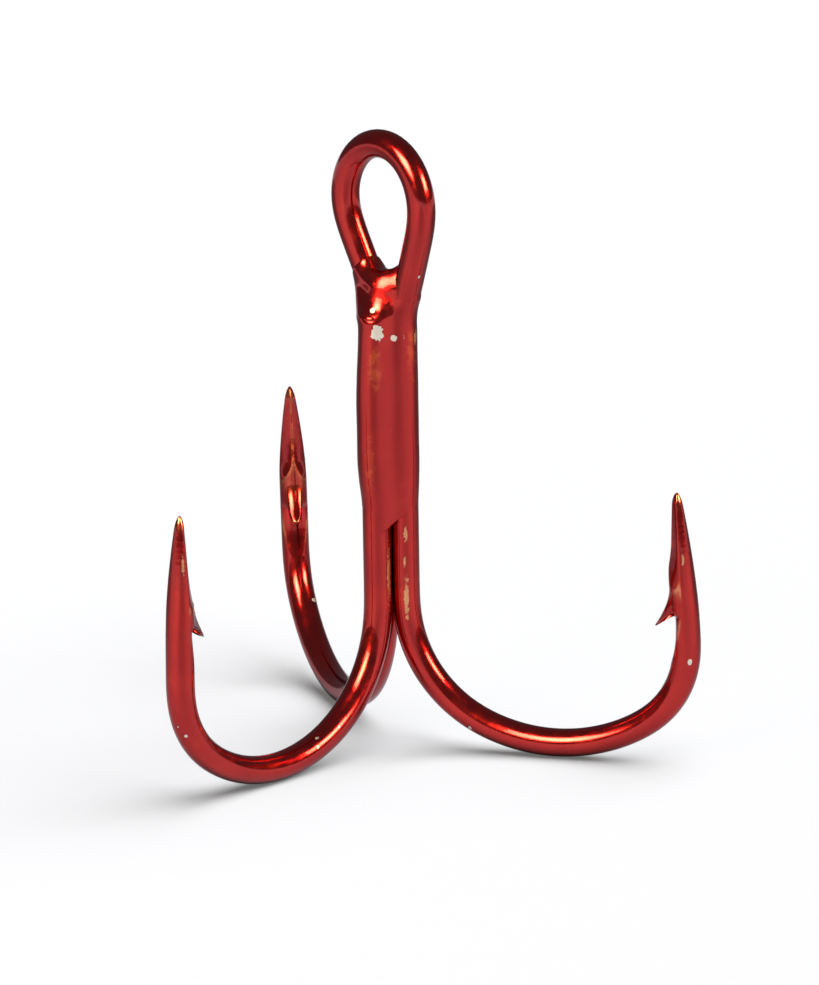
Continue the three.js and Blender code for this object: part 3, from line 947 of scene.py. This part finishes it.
def floor_shade(nodes, place, side, distance, half_length, half_width, kept):
    """1 away from a soft oval on the floor, falling to "kept" inside it."""
    turn = math.radians(CAMERA_SIDE + side)
    node = nodes.node("ShaderNodeMapping", {"vector_type": "TEXTURE"}, Vector=place)
    node.inputs["Location"].default_value = (math.cos(turn) * distance, math.sin(turn) * distance, 0)
    node.inputs["Rotation"].default_value = (0, 0, turn)
    node.inputs["Scale"].default_value = (half_length, half_width, 1)
    length = nodes.node("ShaderNodeVectorMath", {"operation": "LENGTH"})
    nodes.put(length.inputs[0], node.outputs[0])
    return nodes.ramp(length.outputs["Value"], 0.6, 1.25, kept, 1.0)


def emissive(name, colour, strength, edge_strength):
    """A lamp face that is brightest in its middle."""
    nodes = Nodes(name)
    place = nodes.place()
    length = nodes.node("ShaderNodeVectorMath", {"operation": "LENGTH"})
    nodes.put(length.inputs[0], place)
    glow = nodes.ramp(length.outputs["Value"], 0.0, 0.6, strength, edge_strength)
    nodes.put(nodes.shader.inputs["Base Color"], (0, 0, 0))
    nodes.put(nodes.shader.inputs["Emission Color"], colour)
    nodes.put(nodes.shader.inputs["Emission Strength"], glow)
    return nodes.material


def direction(side, elevation):
    """A direction given by its angle from the camera's side, positive to the right, and its elevation."""
    turn, up = math.radians(CAMERA_SIDE + side), math.radians(elevation)
    return Vector((math.cos(turn) * math.cos(up), math.sin(turn) * math.cos(up), math.sin(up)))


def softbox(name, side, elevation, distance, width, height, strength, edge_strength):
    bpy.ops.mesh.primitive_plane_add(size=1)
    lamp = bpy.context.object
    lamp.name = name
    away = direction(side, elevation)
    lamp.location = Vector(SOFTBOX_AIM) + away * distance
    lamp.rotation_euler = away.to_track_quat("Z", "Y").to_euler()
    lamp.scale = (width, height, 1)
    lamp.data.materials.append(emissive(name, SOFTBOX_COLOUR, strength, edge_strength))
    lamp.visible_diffuse = False


def add_floor():
    """A pale floor, a little brighter to the camera than in the wires' reflections."""
    bpy.ops.mesh.primitive_plane_add(size=FLOOR_SIZE, location=(0, 0, FLOOR_HEIGHT))
    floor = bpy.context.object
    floor.name = "floor"
    nodes = Nodes("pale_floor")
    place = nodes.place()
    seen = nodes.node("ShaderNodeLightPath").outputs["Is Camera Ray"]
    front, left, right = [floor_shade(nodes, place, *shade) for shade in FLOOR_SHADES]
    shade = nodes.math("MULTIPLY", front, nodes.math("MULTIPLY", left, right))
    reflected = nodes.blend(shade, (0, 0, 0), FLOOR_REFLECTED)
    nodes.put(nodes.shader.inputs["Base Color"], nodes.blend(seen, reflected, FLOOR_COLOUR))
    nodes.put(nodes.shader.inputs["Roughness"], 0.8)
    nodes.put(nodes.shader.inputs["Emission Color"], (1, 1, 1))
    nodes.put(nodes.shader.inputs["Emission Strength"], nodes.math("MULTIPLY", seen, FLOOR_GLOW))
    floor.data.materials.append(nodes.material)


def add_key():
    """A broad lamp from the right and above, which the wires do not reflect."""
    key = bpy.data.lights.new("key", "SUN")
    key.energy = KEY_ENERGY
    key.angle = math.radians(KEY_ANGLE)
    key.color = (1.0, 1.0, 1.0)
    lamp = bpy.data.objects.new("key", key)
    lamp.rotation_euler = direction(KEY_SIDE, KEY_ELEVATION).to_track_quat("Z", "Y").to_euler()
    lamp.visible_glossy = False
    bpy.context.scene.collection.objects.link(lamp)


def add_studio():
    world = bpy.data.worlds.new("studio")
    world.use_nodes = True
    world.node_tree.nodes["Background"].inputs["Color"].default_value = (*STUDIO_COLOUR, 1)
    bpy.context.scene.world = world


add_floor()
for name, values in SOFTBOXES.items():
    softbox(name, *values)
add_key()
add_studio()

# Camera: angles in degrees, and distances in metres from the shank's axis and the height VIEW_BASE.
VIEW_AZIMUTH = 43.94
VIEW_ELEVATION = 15.052
VIEW_ROLL = 0.924
VIEW_DISTANCE = 0.5254
VIEW_RIGHT = 0.00152
VIEW_UP = 0.02328
VIEW_BASE = -0.0451
LENS = 269.0
SENSOR = 36.0


def add_camera():
    azimuth, elevation, roll = (math.radians(v) for v in (VIEW_AZIMUTH, VIEW_ELEVATION, VIEW_ROLL))
    right = Vector((math.cos(azimuth), math.sin(azimuth), 0))
    forward = Vector((-math.sin(azimuth) * math.cos(elevation), math.cos(azimuth) * math.cos(elevation),
                      -math.sin(elevation)))
    up = right.cross(forward)
    place = VIEW_RIGHT * right + VIEW_UP * up - VIEW_DISTANCE * forward + Vector((0, 0, VIEW_BASE))
    x_axis = math.cos(roll) * right - math.sin(roll) * up
    y_axis = math.sin(roll) * right + math.cos(roll) * up
    camera = bpy.data.objects.new("camera", bpy.data.cameras.new("camera"))
    camera.matrix_world = Matrix.Translation(place) @ Matrix((x_axis, y_axis, -forward)).transposed().to_4x4()
    camera.data.lens = LENS
    camera.data.sensor_width = SENSOR
    camera.data.clip_start = 0.01
    bpy.context.scene.collection.objects.link(camera)
    bpy.context.scene.camera = camera


add_camera()
bpy.context.scene.view_settings.view_transform = "Standard"
bpy.context.scene.cycles.caustics_reflective = False
